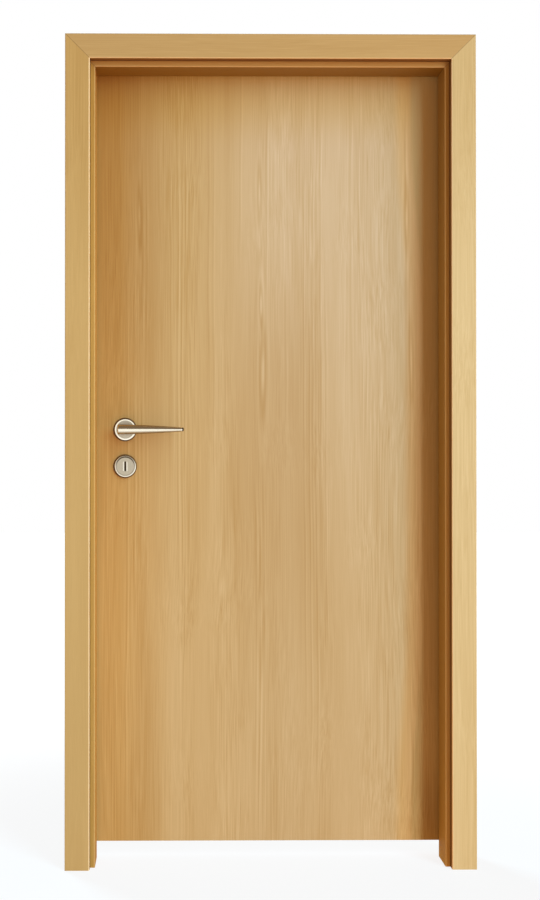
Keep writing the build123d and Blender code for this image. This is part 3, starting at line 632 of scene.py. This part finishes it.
def raw_wood(name, level):
    """Planed softwood: pale, with wide growth bands along the piece, and unvarnished."""
    material, tree, shader, point = new_finish(name)
    grain = put(tree, "Mapping", {"Vector": point, "Rotation": along_grain(level)})
    figure, _, colour = veneer_colour(tree, grain, SOFTWOOD_DEEP, SOFTWOOD_PALE, **SOFTWOOD_FIGURE)
    tree.links.new(colour, shader.inputs["Base Color"])
    varnish(tree, shader, figure, SOFTWOOD_ROUGHNESS)
    return material


def chipboard(name):
    """Pressed chips: flat flecks of mixed pale browns, each with its own tone, and open between."""
    material, tree, shader, point = new_finish(name)
    placed = put(tree, "Mapping", {"Vector": point, "Scale": CHIP_SCALE})
    chips = put(tree, "TexVoronoi", {"Vector": placed, "Scale": 1.0}).node.outputs
    tone = put(tree, "SeparateColor", {"Color": chips["Color"]})
    tree.links.new(mix_colours(tree, tone, CHIP_DARK, CHIP_PALE), shader.inputs["Base Color"])
    tree.links.new(spread(tree, tone, 0.0, 1.0, 0.75, 0.9), shader.inputs["Roughness"])
    relief(tree, shader, chips["Distance"], strength=0.6, distance=0.0004)
    return material


upright_softwood = raw_wood("upright_softwood", False)
level_softwood = raw_wood("level_softwood", True)
for name in ("leaf_stile_lock_side", "leaf_stile_hinge_side", "leaf_lock_block"):
    finish_node(name, upright_softwood)
for name in ("leaf_rail_top", "leaf_rail_bottom"):
    finish_node(name, level_softwood)
finish_node("leaf_core", chipboard("pressed_chips"))


# Seals: hollow bulbs along the stop, which the closing leaf touches lightly.
# They are extruded from soft brown rubber, in one length for each board, and pushed into its groove by
# their stem.

RUBBER_DARK = (0.050, 0.026, 0.012, 1.0)
RUBBER_PALE = (0.085, 0.048, 0.024, 1.0)
MOTTLE_SCALE = (60.0, 60.0, 60.0)
MOTTLE_LOW = 0.35
MOTTLE_HIGH = 0.65
PITTED_SCALE = (1500.0, 1500.0, 1500.0)


def seal_rubber():
    """Matt extruded rubber: a dusty mottle in its colour and gloss, and fine pits."""
    material, tree, shader, point = new_finish("brown_rubber")
    mottle = stretched_noise(tree, point, MOTTLE_SCALE, detail=3.0)
    share = spread(tree, mottle, MOTTLE_LOW, MOTTLE_HIGH)
    tree.links.new(mix_colours(tree, share, RUBBER_DARK, RUBBER_PALE), shader.inputs["Base Color"])
    gloss = spread(tree, mottle, MOTTLE_LOW, MOTTLE_HIGH, 0.6, 0.75)
    tree.links.new(gloss, shader.inputs["Roughness"])
    pits = stretched_noise(tree, point, PITTED_SCALE, detail=1.0)
    relief(tree, shader, pits, strength=0.3, distance=0.0001)
    return material


rubber = seal_rubber()
for place in ("hinge_side", "lock_side", "head"):
    finish_node(f"seal_{place}", rubber)


# Hinges, lock and strike plate: turned, stamped and bent steel.
# What shows is plated in satin nickel and brushed along the pieces, which are screwed or drilled into
# the wood. The lock's case is plain darkened sheet.

NICKEL_DULL = (0.50, 0.475, 0.43, 1.0)
NICKEL_BRIGHT = (0.66, 0.635, 0.59, 1.0)
NICKEL_SCRATCHES = (1600.0, 1600.0, 60.0)
CASE_DULL = (0.10, 0.073, 0.045, 1.0)
CASE_BRIGHT = (0.20, 0.155, 0.105, 1.0)
CASE_GRAIN = (900.0, 900.0, 900.0)
SMUDGE_SCALE = (35.0, 35.0, 35.0)


def brushed_metal(name, scratches, dull, bright, glossiest, dullest):
    """Plated steel: fine scratches, drawn out along the piece, vary its colour, and half of them and
    half of a smudge vary its gloss."""
    material, tree, shader, point = new_finish(name)
    lines = stretched_noise(tree, point, scratches, detail=2.0, roughness=0.6)
    share = spread(tree, lines, NOISE_LOW, NOISE_HIGH)
    tree.links.new(mix_colours(tree, share, dull, bright), shader.inputs["Base Color"])
    smudge = stretched_noise(tree, point, SMUDGE_SCALE, detail=2.0)
    both = maths(tree, "ADD", share, spread(tree, smudge, MOTTLE_LOW, MOTTLE_HIGH))
    mixed = maths(tree, "MULTIPLY", both, 0.5)
    gloss = spread(tree, mixed, 0.0, 1.0, glossiest, dullest)
    tree.links.new(gloss, shader.inputs["Roughness"])
    relief(tree, shader, lines, strength=0.15, distance=0.00003)
    shader.inputs["Metallic"].default_value = 1.0
    return material


upright_nickel = brushed_metal(
    "upright_nickel", NICKEL_SCRATCHES, NICKEL_DULL, NICKEL_BRIGHT, glossiest=0.25, dullest=0.4
)
for place in ("upper", "lower"):
    for kind in ("frame_knuckle", "pin", "leaf_knuckle"):
        finish_node(f"hinge_{place}_{kind}", upright_nickel)
for name in ("strike_plate", "lock_faceplate", "latch_bolt", "dead_bolt", "spindle", "lock_hub"):
    finish_node(name, upright_nickel)
case_steel = brushed_metal(
    "case_steel", CASE_GRAIN, CASE_DULL, CASE_BRIGHT, glossiest=0.45, dullest=0.6
)
finish_node("lock_case", case_steel)


# Screws: countersunk steel heads with a cross recess, plated like the plates they hold.
# Two stand in the lock's faceplate and two in the strike plate, above and below the bolts.

SCREW_HEAD_R = 0.0038
SCREW_PROUD = 0.0002
SCREW_BURIED = 0.0008
CROSS_HALF_W = 0.00045
CROSS_HALF_L = 0.0022
CROSS_DEPTH = 0.0007
HEAD_ANGLES = 64
HEAD_RINGS = 16


def screw_head(name, place, outward, body):
    """A flat round head that looks along X, outward being 1 or -1. Its rings run from the middle to the
    rim and on to a buried rim, and the rings' points inside the cross lie deeper. Each point is worked
    out as its place across the head, its place along it and its height."""
    turns = np.linspace(0.0, 2 * math.pi, HEAD_ANGLES, endpoint=False)
    radii = np.linspace(SCREW_HEAD_R / HEAD_RINGS, SCREW_HEAD_R, HEAD_RINGS)
    across = np.outer(radii, np.cos(turns))
    along = np.outer(radii, np.sin(turns))
    narrow = np.minimum(abs(across), abs(along)) < CROSS_HALF_W
    crossed = narrow & (np.maximum(abs(across), abs(along)) < CROSS_HALF_L)
    height = np.where(crossed, SCREW_PROUD - CROSS_DEPTH, SCREW_PROUD)
    rings = np.stack([across, along, height], axis=2)
    buried = rings[-1] * (1.0, 1.0, 0.0) - (0.0, 0.0, SCREW_BURIED)
    middle = (0.0, 0.0, SCREW_PROUD - CROSS_DEPTH)
    points = np.vstack([middle, rings.reshape(-1, 3), buried, (0.0, 0.0, -SCREW_BURIED)])
    placed = np.array(place) + points[:, [2, 0, 1]] * (outward, 1.0, outward)
    step = np.arange(HEAD_ANGLES)
    following = (step + 1) % HEAD_ANGLES
    inner = 1 + HEAD_ANGLES * np.arange(HEAD_RINGS)[:, None]
    outer = inner + HEAD_ANGLES
    last = 1 + HEAD_RINGS * HEAD_ANGLES
    under = np.full_like(step, len(points) - 1)
    fan = np.stack([np.zeros_like(step), 1 + step, 1 + following], axis=1)
    quads = np.stack([inner + step, outer + step, outer + following, inner + following], axis=2)
    base = np.stack([under, last + following, last + step], axis=1)
    mesh = bpy.data.meshes.new(name)
    faces = [*fan.tolist(), *quads.reshape(-1, 4).tolist(), *base.tolist()]
    mesh.from_pydata(placed.tolist(), [], faces)
    made = bpy.data.objects.new(name, mesh)
    bpy.context.scene.collection.objects.link(made)
    mesh.materials.append(upright_nickel)
    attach(made, body)


FACE_SCREW_TO_END = 0.0125
STRIKE_SCREW_TO_END = 0.009
face_low, face_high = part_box("lock_faceplate")
strike_low, strike_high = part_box("strike_plate")
face_middle_y = (face_low.y + face_high.y) / 2
strike_middle_y = (strike_low.y + strike_high.y) / 2
for place, face_z, strike_z in (
    ("upper", face_high.z - FACE_SCREW_TO_END, strike_high.z - STRIKE_SCREW_TO_END),
    ("lower", face_low.z + FACE_SCREW_TO_END, strike_low.z + STRIKE_SCREW_TO_END),
):
    screw_head(f"faceplate_screw_{place}", (face_low.x, face_middle_y, face_z), -1, "leaf")
    screw_head(f"strike_screw_{place}", (strike_high.x, strike_middle_y, strike_z), 1, "frame")


# Roses and escutcheons: round nickel covers, turned, that hide the bores for the spindle and the key.
# The face is brushed in circles and the rim is left bright, with a painted dark reflection on its outer
# edge. The escutcheon's groove carries a painted dark reflection, heavier high up, and its keyhole lies
# between two polished ridges.

RIM_BRIGHT = (0.90, 0.88, 0.83, 1.0)
FACE_DULL = (0.46, 0.425, 0.36, 1.0)
FACE_BRIGHT = (0.60, 0.565, 0.49, 1.0)
COVER_PAINTED_DARK = (0.10, 0.075, 0.05, 1.0)
FACE_RADII = {"rose": 0.0225, "escutcheon": 0.0234}
CIRCLES_PER_METRE = 2600.0
RIM_STEP = 0.0006
RIM_ROUGHNESS = 0.09
# The outer edge is painted dark, a painted reflection, between these two distances inside the cover's
# radius.
EDGE_FROM = 0.0012
EDGE_TO = 0.0006
EDGE_SHARE = 0.85
# The groove's painted dark reflection is full up to the first distance from it and gone at the second,
# and heavier high.
GROOVE_REACH = (0.0010, 0.0026)
GROOVE_HEIGHTS = (-0.005, 0.020)
GROOVE_SHARES = (0.35, 1.0)
SLOT_HALF_W = 0.0027
SLOT_HALF_L = 0.0125
SLOT_END = 0.002
RIDGE_W = 0.0028
RIDGE_STEP = 0.0004
RIDGE_SHARE = 0.7


def turned_metal(name, node, face_radius, grooved):
    """Turned nickel: everything follows the distance from the axis, brushed inside the face's radius and
    polished outside it, with a painted dark reflection on its outer edge."""
    low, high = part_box(node)
    centre = (low + high) / 2
    outer = (high.x - low.x) / 2
    material, tree, shader, point = new_finish(name)
    feeds = {"Vector": point, "Location": (-centre.x, -centre.y, -centre.z)}
    parts = put(tree, "SeparateXYZ", {"Vector": put(tree, "Mapping", feeds)}).node.outputs
    square = maths(tree, "MULTIPLY", parts["X"], parts["X"])
    radius = maths(tree, "SQRT", maths(tree, "MULTIPLY_ADD", parts["Z"], parts["Z"], square))
    turning = maths(tree, "MULTIPLY", radius, CIRCLES_PER_METRE)
    ring = put(tree, "CombineXYZ", {"X": turning, "Y": parts["X"], "Z": parts["Z"]})
    circles = put(tree, "TexNoise", {"Vector": ring, "Scale": 1.0, "Detail": 2.0})
    share = spread(tree, circles, NOISE_LOW, NOISE_HIGH)
    rim = spread(tree, radius, face_radius, face_radius + RIM_STEP)
    colour = mix_colours(tree, rim, mix_colours(tree, share, FACE_DULL, FACE_BRIGHT), RIM_BRIGHT)
    edge = spread(tree, radius, outer - EDGE_FROM, outer - EDGE_TO, 0.0, EDGE_SHARE, smooth=True)
    colour = mix_colours(tree, edge, colour, COVER_PAINTED_DARK)
    if grooved:
        groove = fading(tree, apart(tree, radius, face_radius), *GROOVE_REACH)
        higher = spread(tree, parts["Z"], *GROOVE_HEIGHTS, *GROOVE_SHARES, smooth=True)
        colour = mix_colours(tree, maths(tree, "MULTIPLY", groove, higher), colour, COVER_PAINTED_DARK)
        aside = maths(tree, "ABSOLUTE", parts["X"])
        ridge_edge = SLOT_HALF_W + RIDGE_W
        across = spread(tree, aside, ridge_edge, ridge_edge + RIDGE_STEP, 1.0, 0.0)
        upright = maths(tree, "ABSOLUTE", parts["Z"])
        length = spread(tree, upright, SLOT_HALF_L - SLOT_END, SLOT_HALF_L, 1.0, 0.0)
        ridge = maths(tree, "MULTIPLY", across, length)
        colour = mix_colours(tree, maths(tree, "MULTIPLY", ridge, RIDGE_SHARE), colour, RIM_BRIGHT)
        rim = maths(tree, "MAXIMUM", rim, ridge)
    tree.links.new(colour, shader.inputs["Base Color"])
    satin = spread(tree, share, 0.0, 1.0, 0.30, 0.42)
    gloss = put(tree, "Mix", {0: rim, 2: satin, 3: RIM_ROUGHNESS})
    tree.links.new(gloss, shader.inputs["Roughness"])
    relief(tree, shader, circles, strength=0.12, distance=0.00003)
    shader.inputs["Metallic"].default_value = 1.0
    return material


for side in ("front", "back"):
    for kind, face_radius in FACE_RADII.items():
        node = f"{side}_{kind}"
        finish_node(node, turned_metal(f"{node}_nickel", node, face_radius, kind == "escutcheon"))


# Levers: tapered grips on round necks, one on each side of the leaf, joined by the square spindle.
# They are turned from solid metal, plated in satin nickel and brushed along the grip, and each grip
# ends in a polished cap.

LEVER_DULL = (0.74, 0.71, 0.64, 1.0)
LEVER_BRIGHT = (0.88, 0.85, 0.78, 1.0)
LEVER_SHADED = (0.22, 0.15, 0.08, 1.0)
LEVER_SCRATCHES = (40.0, 1500.0, 1500.0)
GRIP_BUTT_R = 0.0124
GRIP_TIP_R = 0.0054
# The grip's painted dark reflection at its edges begins and is full at these shares of its radius above
# and below its axis.
DARK_EDGE_FROM = 0.80
DARK_EDGE_TO = 0.98
DARK_EDGE_SHARE = 0.85
CAP_BRIGHT = (0.92, 0.90, 0.86, 1.0)
CAP_SHADED = (0.16, 0.12, 0.08, 1.0)
CAP_SHADED_SHARE = 0.9
CAP_GRAIN = (900.0, 900.0, 900.0)
CAP_RING_END = 0.0028
CAP_RING_SOFT = 0.0003


def lever_finish(name, node):
    """Brushed along the grip. Its outermost fifth above and below is painted dark, a painted reflection,
    so the round form reads darker at its upper and lower edges."""
    material, tree, shader, point = new_finish(name)
    low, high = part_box(node)
    lines = stretched_noise(tree, point, LEVER_SCRATCHES, detail=2.0, roughness=0.6)
    share = spread(tree, lines, NOISE_LOW, NOISE_HIGH)
    parts = put(tree, "SeparateXYZ", {"Vector": point}).node.outputs
    radius = spread(tree, parts["X"], low.x, high.x, GRIP_BUTT_R, GRIP_TIP_R)
    off_axis = maths(tree, "DIVIDE", apart(tree, parts["Z"], (low.z + high.z) / 2), radius)
    edge = spread(tree, off_axis, DARK_EDGE_FROM, DARK_EDGE_TO, 0.0, DARK_EDGE_SHARE, smooth=True)
    colour = mix_colours(tree, share, LEVER_DULL, LEVER_BRIGHT)
    tree.links.new(mix_colours(tree, edge, colour, LEVER_SHADED), shader.inputs["Base Color"])
    tree.links.new(spread(tree, share, 0.0, 1.0, 0.08, 0.13), shader.inputs["Roughness"])
    relief(tree, shader, lines, strength=0.15, distance=0.00003)
    shader.inputs["Metallic"].default_value = 1.0
    return material


def cap_finish(name, node):
    """Polished: a bright ring next to the grip, and a dome painted dark as a painted reflection of the
    room.
    """
    material, tree, shader, point = new_finish(name)
    ring_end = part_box(node)[0].x + CAP_RING_END
    fine = stretched_noise(tree, point, CAP_GRAIN, detail=2.0, roughness=0.6)
    along = put(tree, "SeparateXYZ", {"Vector": point}).node.outputs["X"]
    soft = (ring_end - CAP_RING_SOFT, ring_end + CAP_RING_SOFT)
    dome = spread(tree, along, *soft, 0.0, CAP_SHADED_SHARE, smooth=True)
    tree.links.new(mix_colours(tree, dome, CAP_BRIGHT, CAP_SHADED), shader.inputs["Base Color"])
    gloss = spread(tree, fine, NOISE_LOW, NOISE_HIGH, 0.06, 0.12)
    tree.links.new(gloss, shader.inputs["Roughness"])
    shader.inputs["Metallic"].default_value = 1.0
    return material


for side in ("front", "back"):
    finish_node(f"{side}_lever", lever_finish(f"{side}_lever_nickel", f"{side}_lever"))
    finish_node(f"{side}_lever_cap", cap_finish(f"{side}_cap_nickel", f"{side}_lever_cap"))


# Floor: a wide pale studio floor, painted matt, that reaches past the picture's edges.
# It is lit from within, so the picture's ground stays white. Its glow turns warm where it lights the
# door from below, and dims towards the wall where metal mirrors it.

FLOOR_TONE = (0.12, 0.12, 0.12, 1.0)
FLOOR_LOW = (-9.0, -9.0)
FLOOR_HIGH = (8.0, 12.0)
GLOW_NEAR = 0.86
GLOW_FROM = 0.6
GLOW_TO = 2.4
BOUNCE_LEFT = (0.42, 0.24, 0.09, 1.0)
BOUNCE_RIGHT = (1.60, 0.95, 0.41, 1.0)
BOUNCE_PLACES = (-2.0, 1.0)
MIRRORED_NEAR = (0.30, 0.17, 0.06, 1.0)
MIRRORED_PLACES = (0.1, 1.3)
ROOM_BRIGHT = (1.15, 1.09, 0.95, 1.0)
WHITE = (1.0, 1.0, 1.0, 1.0)


def floor_sheet(name):
    """A level rectangle at the height of nothing, between the floor's two corners."""
    (x0, y0), (x1, y1) = FLOOR_LOW, FLOOR_HIGH
    mesh = bpy.data.meshes.new(name)
    mesh.from_pydata([(x0, y0, 0.0), (x1, y0, 0.0), (x1, y1, 0.0), (x0, y1, 0.0)], [], [(0, 1, 2, 3)])
    made = bpy.data.objects.new(name, mesh)
    bpy.context.scene.collection.objects.link(made)
    return made


floor = floor_sheet("floor")
floor_finish, tree, shader, point = new_finish("pale_floor")
shader.inputs["Base Color"].default_value = FLOOR_TONE
shader.inputs["Roughness"].default_value = 0.9
shader.inputs["Specular IOR Level"].default_value = 0.1
rays = tree.nodes.new("ShaderNodeLightPath").outputs
parts = put(tree, "SeparateXYZ", {"Vector": point}).node.outputs
bounce = mix_colours(tree, spread(tree, parts["X"], *BOUNCE_PLACES), BOUNCE_LEFT, BOUNCE_RIGHT)
ahead = maths(tree, "ABSOLUTE", parts["Y"])
mirrored = mix_colours(tree, spread(tree, ahead, *MIRRORED_PLACES), MIRRORED_NEAR, ROOM_BRIGHT)
light = mix_colours(tree, rays["Is Glossy Ray"], bounce, mirrored)
tree.links.new(mix_colours(tree, rays["Is Camera Ray"], light, WHITE), shader.inputs["Emission Color"])
centred = put(tree, "Mapping", {"Vector": point, "Location": (-passage_middle, 0.0, 0.0)})
away = put(tree, "VectorMath", {0: centred}, operation="LENGTH").node.outputs["Value"]
glow = spread(tree, away, GLOW_FROM, GLOW_TO, GLOW_NEAR, 1.0, smooth=True)
strength = put(tree, "Mix", {0: rays["Is Camera Ray"], 2: 1.0, 3: glow})
tree.links.new(strength, shader.inputs["Emission Strength"])
floor.data.materials.append(floor_finish)


# Lamps: two tall soft sheets of cool daylight, one on each side of the wall.
# The front one stands far off to the right of the door, so the lining throws its shadow on the hinge
# side of the leaf. The other lights the far side in the same way, from that side's right.

LAMP_AWAY = 20.0
LAMP_TURN = math.radians(32.5)
LAMP_WIDTH = 7.4
LAMP_LOW = 2.0
LAMP_HIGH = 47.0
LAMP_POWER = 12800.0
LAMP_COLOUR = (0.47, 0.78, 1.0)


def soft_lamp(name, facing):
    """A large sheet of light, upright and far away, that faces the door's middle from one side of the
    wall. Facing is -1 for the closing side and 1 for the other."""
    lamp = bpy.data.lights.new(name, "AREA")
    lamp.shape = "RECTANGLE"
    lamp.size = LAMP_WIDTH
    lamp.size_y = LAMP_HIGH - LAMP_LOW
    lamp.energy = LAMP_POWER
    lamp.color = LAMP_COLOUR
    made = bpy.data.objects.new(name, lamp)
    aside = -facing * LAMP_AWAY * math.sin(LAMP_TURN)
    ahead = facing * LAMP_AWAY * math.cos(LAMP_TURN)
    made.location = (passage_middle + aside, ahead, (LAMP_LOW + LAMP_HIGH) / 2)
    made.rotation_euler = (math.pi / 2, 0.0, math.atan2(aside, -ahead))
    made.visible_camera = False
    made.visible_glossy = False
    bpy.context.scene.collection.objects.link(made)


soft_lamp("front_lamp", -1.0)
soft_lamp("back_lamp", 1.0)


# Room: the walls round the door, which only fill its shadows and show in the metal.
# The fill is warm, strongest straight ahead of the door and towards its right. Metal mirrors a bright
# low window in a dark room, and the camera sees plain white.

ROOM_DARK = (0.22, 0.15, 0.085, 1.0)
FILL_AHEAD = (0.42, 0.20, 0.05, 1.0)
FILL_ASIDE = (0.10, 0.05, 0.015, 1.0)
FILL_LEFT_SHARE = (0.6, 0.6, 0.6, 1.0)
FILL_RIGHT_SHARE = (1.3, 1.3, 1.3, 1.0)
# Parts of a heading of length 1: how high the window reaches, and how far ahead and right a wall lies.
WINDOW_TOP = (0.14, 0.27)
WINDOW_AHEAD = (0.45, 0.62)
FILL_FROM_AHEAD = (0.1, 0.8)
FILL_FROM_RIGHT = (-0.3, 0.3)
HORIZON = (-0.05, 0.0)

world = bpy.data.worlds.new("studio")
bpy.context.scene.world = world
world.use_nodes = True
tree = world.node_tree
background = tree.nodes["Background"]
sky = tree.nodes.new("ShaderNodeTexCoord").outputs["Generated"]
heading = put(tree, "SeparateXYZ", {"Vector": sky}).node.outputs
across_wall = maths(tree, "ABSOLUTE", heading["Y"])
below_top = fading(tree, heading["Z"], *WINDOW_TOP)
opposite = spread(tree, across_wall, *WINDOW_AHEAD, smooth=True)
room = mix_colours(tree, maths(tree, "MULTIPLY", opposite, below_top), ROOM_DARK, ROOM_BRIGHT)
rays = tree.nodes.new("ShaderNodeLightPath").outputs
seen = maths(tree, "MAXIMUM", rays["Is Glossy Ray"], rays["Is Transmission Ray"])
from_ahead = spread(tree, across_wall, *FILL_FROM_AHEAD, smooth=True)
from_right = spread(tree, heading["X"], *FILL_FROM_RIGHT, smooth=True)
bounce = mix_colours(tree, from_right, BOUNCE_LEFT, BOUNCE_RIGHT)
level = mix_colours(tree, from_right, FILL_LEFT_SHARE, FILL_RIGHT_SHARE)
fill = mix_colours(tree, from_ahead, FILL_ASIDE, FILL_AHEAD)
fill = mix_colours(tree, 1.0, fill, level, "MULTIPLY")
fill = mix_colours(tree, spread(tree, heading["Z"], *HORIZON, 1.0, 0.0), fill, bounce)
fill = mix_colours(tree, seen, fill, room)
colour = mix_colours(tree, rays["Is Camera Ray"], fill, WHITE)
tree.links.new(colour, background.inputs["Color"])


# Standpoint: a camera on a stand in front of the closing side, at lever height.
# It stands a little left of the opening's middle and three and a half metres from the wall, looks
# nearly square at it, and has its lens shifted so that the door's upright edges stay upright.

camera_data = bpy.data.cameras.new("camera")
camera_data.sensor_fit = "VERTICAL"
camera_data.sensor_height = 36.0
camera_data.lens = 56.07
camera_data.shift_x = 0.0934
camera_data.shift_y = -0.0242
camera = bpy.data.objects.new("camera", camera_data)
camera.location = (-0.6991, -3.468, 1.0461)
camera.rotation_euler = (math.radians(90.411), 0.0, math.radians(-0.585))
bpy.context.scene.collection.objects.link(camera)
bpy.context.scene.camera = camera
bpy.context.scene.view_settings.view_transform = "Standard"
